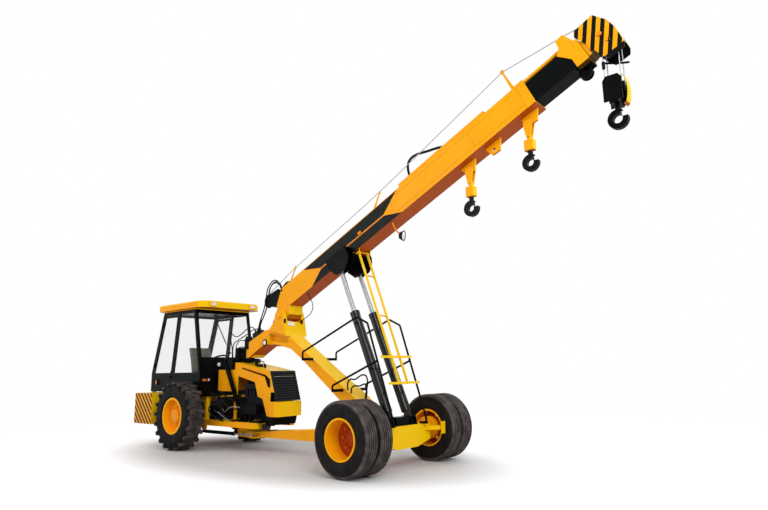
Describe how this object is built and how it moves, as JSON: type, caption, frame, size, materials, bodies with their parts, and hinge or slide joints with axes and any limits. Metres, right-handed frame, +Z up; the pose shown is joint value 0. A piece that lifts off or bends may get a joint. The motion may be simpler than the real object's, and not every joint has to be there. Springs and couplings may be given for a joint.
{
  "type": "articulated pick-and-carry mobile crane",
  "caption": "Articulated mobile crane: tractor rear half with cab, arched front frame on twin wheels, telescopic boom, twin lift cylinders and hook block.",
  "frame": {"origin": "middle of the overall box, on the ground", "axes": "+X forward along the machine, towards the boom head; +Y to the left; +Z up"},
  "size_m": [9.9016, 2.52, 5.8017],
  "materials": {
    "yellow_paint": "glossy enamel over steel plate",
    "orange_paint": "glossy enamel",
    "black_paint": "satin enamel",
    "hazard_paint": "gloss enamel with black diagonal bands",
    "chrome": "ground and plated",
    "wire": "stranded wire rope, lightly greased",
    "cast_iron": "painted castings",
    "tyre_rubber": "moulded rubber",
    "window_glass": "clear safety glass",
    "seat_vinyl": "sewn vinyl cover",
    "black_plastic": "moulded plastic"
  },
  "bodies": {
    "front_unit": {"front_frame": "yellow_paint", "axle_beam": "yellow_paint", "cylinder_feet": "black_paint", "drawbar": "yellow_paint", "handrails": "black_paint", "boom_pin": "chrome"},
    "rear_unit": {"rear_chassis": "yellow_paint", "rear_axle": "black_paint", "counterweight": "yellow_paint", "engine": "cast_iron", "hood": "yellow_paint", "grille": "black_paint", "front_weight": "yellow_paint", "weight_box": "black_paint", "battery_box_right": "black_paint", "battery_box_left": "black_paint", "pivot_yoke": "black_paint", "cab_shell": "black_paint", "cab_roof": "yellow_paint", "cab_glass": "window_glass", "seat": "seat_vinyl", "steering_column": "black_plastic"},
    "door_right": {"door_right": "black_paint", "door_glass_right": "window_glass"},
    "door_left": {"door_left": "black_paint", "door_glass_left": "window_glass"},
    "front_wheels_right": {"front_tyres_right": "tyre_rubber", "front_rims_right": "orange_paint"},
    "front_wheels_left": {"front_tyres_left": "tyre_rubber", "front_rims_left": "orange_paint"},
    "rear_wheel_right": {"rear_tyre_right": "tyre_rubber", "rear_rim_right": "orange_paint"},
    "rear_wheel_left": {"rear_tyre_left": "tyre_rubber", "rear_rim_left": "orange_paint"},
    "boom": {"boom_base": "yellow_paint", "lift_bracket": "black_paint", "telescope_rod": "chrome", "boom_guard": "yellow_paint", "winch": "black_paint"},
    "second_stage": {"second_section": "black_paint", "telescope_barrel": "orange_paint"},
    "fly_stage": {"fly_section": "black_paint", "boom_head": "hazard_paint", "head_sheaves": "cast_iron"},
    "hook_block": {"hook_block": "black_paint", "hoist_falls": "wire"},
    "hook_middle": {"hook_middle": "yellow_paint"},
    "hook_front": {"hook_front": "yellow_paint"},
    "lift_barrels": {"lift_barrels": "black_paint"},
    "lift_rods": {"lift_rods": "chrome"},
    "ladder": {"boom_ladder": "yellow_paint"},
    "steer_barrel_right": {"steer_barrel_right": "black_paint"},
    "steer_barrel_left": {"steer_barrel_left": "black_paint"},
    "steer_rod_right": {"steer_rod_right": "chrome"},
    "steer_rod_left": {"steer_rod_left": "chrome"}
  },
  "joints": [
    {"name": "steering", "type": "hinge", "parent": "front_unit", "child": "rear_unit", "pos_m": [-2.36075, 0, 1], "axis": [0, 0, 1], "range_deg": [-36, 36]},
    {"name": "boom_luff", "type": "hinge", "parent": "front_unit", "child": "boom", "pos_m": [-1.30075, 0, 2.4], "axis": [0, -1, 0], "range_deg": [-23, 29]},
    {"name": "second_slide", "type": "slide", "parent": "boom", "child": "second_stage", "axis": [0.9042, 0, 0.427], "range_m": [-0.51, 2.3]},
    {"name": "fly_slide", "type": "slide", "parent": "second_stage", "child": "fly_stage", "axis": [0.9042, 0, 0.427], "range_m": [0, 1.8]},
    {"name": "block_swing", "type": "hinge", "parent": "fly_stage", "child": "hook_block", "pos_m": [4.76061, 0, 5.39531], "axis": [0, 1, 0], "range_deg": [-26, 30]},
    {"name": "hook_middle_swing", "type": "hinge", "parent": "boom", "child": "hook_middle", "pos_m": [2.63215, 0, 4.23528], "axis": [0, 1, 0], "range_deg": [-26, 30]},
    {"name": "hook_front_swing", "type": "hinge", "parent": "boom", "child": "hook_front", "pos_m": [3.5825, 0, 4.6841], "axis": [0, 1, 0], "range_deg": [-26, 30]},
    {"name": "lift_barrel_tilt", "type": "hinge", "parent": "front_unit", "child": "lift_barrels", "pos_m": [1.22925, 0, 0.67], "axis": [0, -1, 0], "range_deg": [-3, 3]},
    {"name": "lift_rod_slide", "type": "slide", "parent": "lift_barrels", "child": "lift_rods", "axis": [-0.3926, 0, 0.9197], "range_m": [-0.66, 0.83]},
    {"name": "ladder_swing", "type": "hinge", "parent": "boom", "child": "ladder", "pos_m": [0.51775, 0, 3.30307], "axis": [0, -1, 0], "range_deg": [-28, 24]},
    {"name": "front_wheels_right_spin", "type": "hinge", "parent": "front_unit", "child": "front_wheels_right", "pos_m": [1.19925, -0.984, 0.509], "axis": [0, 1, 0], "continuous": true},
    {"name": "front_wheels_left_spin", "type": "hinge", "parent": "front_unit", "child": "front_wheels_left", "pos_m": [1.19925, 0.984, 0.509], "axis": [0, 1, 0], "continuous": true},
    {"name": "rear_wheel_right_spin", "type": "hinge", "parent": "rear_unit", "child": "rear_wheel_right", "pos_m": [-3.44675, -0.84, 0.622], "axis": [0, 1, 0], "continuous": true},
    {"name": "rear_wheel_left_spin", "type": "hinge", "parent": "rear_unit", "child": "rear_wheel_left", "pos_m": [-3.44675, 0.84, 0.622], "axis": [0, 1, 0], "continuous": true},
    {"name": "door_right_hinge", "type": "hinge", "parent": "rear_unit", "child": "door_right", "pos_m": [-4.68548, -0.654, 2], "axis": [-0.2952, 0, -0.9554], "range_deg": [0, 80]},
    {"name": "door_left_hinge", "type": "hinge", "parent": "rear_unit", "child": "door_left", "pos_m": [-4.68548, 0.654, 2], "axis": [0.2952, 0, 0.9554], "range_deg": [0, 80]},
    {"name": "steer_barrel_right_swing", "type": "hinge", "parent": "rear_unit", "child": "steer_barrel_right", "pos_m": [-3.36075, -0.345, 0.3], "axis": [0, 0, 1], "range_deg": [-14, 14]},
    {"name": "steer_rod_right_slide", "type": "slide", "parent": "steer_barrel_right", "child": "steer_rod_right", "axis": [0.9989, 0.0461, 0], "range_m": [-0.21, 0.21]},
    {"name": "steer_barrel_left_swing", "type": "hinge", "parent": "rear_unit", "child": "steer_barrel_left", "pos_m": [-3.36075, 0.345, 0.3], "axis": [0, 0, 1], "range_deg": [-14, 14]},
    {"name": "steer_rod_left_slide", "type": "slide", "parent": "steer_barrel_left", "child": "steer_rod_left", "axis": [0.9989, -0.0461, 0], "range_m": [-0.21, 0.21]}
  ],
  "couplings": [
    {"joint": "lift_barrel_tilt", "follows": "boom_luff", "ratio": 0.06},
    {"joint": "lift_rod_slide", "follows": "boom_luff", "m_per_rad": 1.59},
    {"joint": "ladder_swing", "follows": "boom_luff", "ratio": -0.95},
    {"joint": "steer_barrel_right_swing", "follows": "steering", "ratio": -0.28},
    {"joint": "steer_rod_right_slide", "follows": "steering", "m_per_rad": -0.294},
    {"joint": "steer_barrel_left_swing", "follows": "steering", "ratio": -0.28},
    {"joint": "steer_rod_left_slide", "follows": "steering", "m_per_rad": 0.294}
  ]
}
